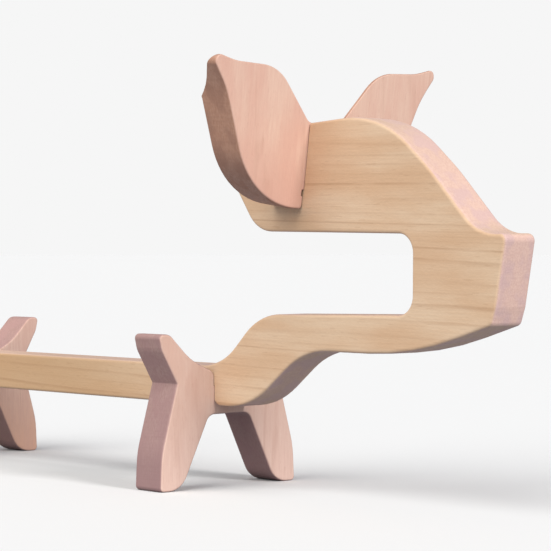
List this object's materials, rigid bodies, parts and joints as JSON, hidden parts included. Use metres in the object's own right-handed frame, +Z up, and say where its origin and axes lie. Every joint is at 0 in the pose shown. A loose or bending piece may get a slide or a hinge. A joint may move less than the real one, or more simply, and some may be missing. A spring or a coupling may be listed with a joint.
{
  "type": "bottle holder",
  "caption": "Wooden pig that holds a bottle: a sawn side board with a slot in its head for the neck, crossed by an ear plate and leg plates that slot together.",
  "frame": {"origin": "middle of the overall length, on the middle plane of the body board, on the floor that the feet stand on", "axes": "+X towards the snout, +Y towards the pig's left side, +Z up"},
  "size_m": [0.4319, 0.127, 0.1839],
  "materials": {
    "board_maple": "sanded, bare pale maple with fine dark growth lines along the length",
    "plate_beech": "sanded, bare pinkish beech with fine flecks, grain upright"
  },
  "bodies": {
    "board": {"body_board": "board_maple"},
    "ears": {"ear_plate": "plate_beech"},
    "front_legs": {"front_leg_plate": "plate_beech"},
    "rear_legs": {"rear_leg_plate": "plate_beech"}
  },
  "joints": [
    {"name": "ear_plate_slide", "type": "slide", "parent": "board", "child": "ears", "axis": [0.1357, 0, 0.9907], "range_m": [0, 0.045]},
    {"name": "front_leg_slide", "type": "slide", "parent": "board", "child": "front_legs", "axis": [0, 0, -1], "range_m": [0, 0.038]},
    {"name": "rear_leg_slide", "type": "slide", "parent": "board", "child": "rear_legs", "axis": [0, 0, -1], "range_m": [0, 0.038]}
  ]
}
